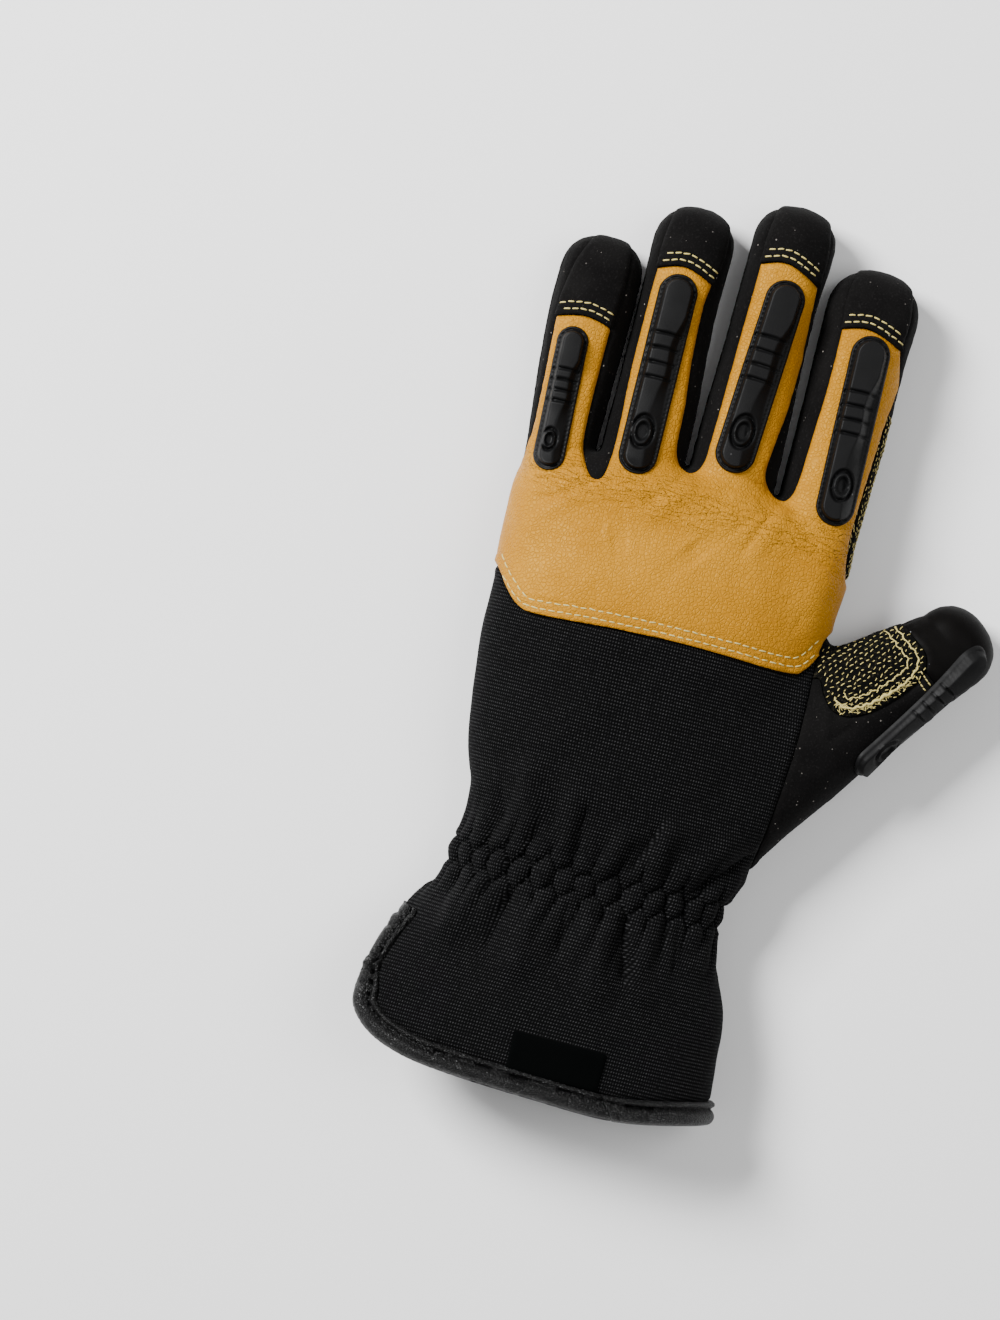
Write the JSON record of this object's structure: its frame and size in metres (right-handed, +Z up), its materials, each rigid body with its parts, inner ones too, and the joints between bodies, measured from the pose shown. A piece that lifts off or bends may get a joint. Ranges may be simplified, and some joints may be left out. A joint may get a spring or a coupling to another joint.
{
  "type": "needle-resistant work glove",
  "caption": "Left-hand gauntlet work glove: tan leather back, black stretch knit, suede fingertips, moulded rubber finger guards and a bound flared cuff with a side vent.",
  "frame": {"origin": "on the surface that the glove lies on, below the middle of its bounding box", "axes": "+Z up out of the back of the hand, +Y from the cuff to the fingertips, +X to the thumb's side"},
  "size_m": [0.1588, 0.278, 0.0378],
  "materials": {
    "tan_leather": "tan grain leather, fine pebbled grain, soft sheen",
    "stretch_knit": "black stretch knit with fine cross courses",
    "suede": "matt black brushed synthetic suede with sparse pale flecks",
    "aramid_knit": "black and straw-yellow cut resistant knit",
    "smooth_cloth": "smooth satin black coated cloth",
    "guard_rubber": "matt black moulded rubber",
    "binding_leather": "black grained leather binding, semi-gloss",
    "label_cloth": "plain black woven label, bare",
    "cream_thread": "cream twisted sewing thread"
  },
  "bodies": {
    "root": {"leather_back": "tan_leather", "knit_back": "stretch_knit", "palm_panel": "suede", "cuff_palm": "stretch_knit", "tip_cap_little": "suede", "tip_cap_ring": "suede", "tip_cap_middle": "suede", "tip_cap_index": "suede", "sidewall_little_outer": "suede", "sidewall_little_ring": "suede", "sidewall_ring_middle": "suede", "sidewall_middle_index": "suede", "sidewall_index_outer": "suede", "aramid_index_strip": "aramid_knit", "aramid_thumb_patch": "aramid_knit", "thumb_back": "suede", "thumb_tip": "smooth_cloth", "thumb_palm": "suede", "guard_little": "guard_rubber", "guard_ring": "guard_rubber", "guard_middle": "guard_rubber", "guard_index": "guard_rubber", "guard_thumb": "guard_rubber", "cuff_binding": "binding_leather", "cuff_label": "label_cloth"}
  },
  "joints": []
}
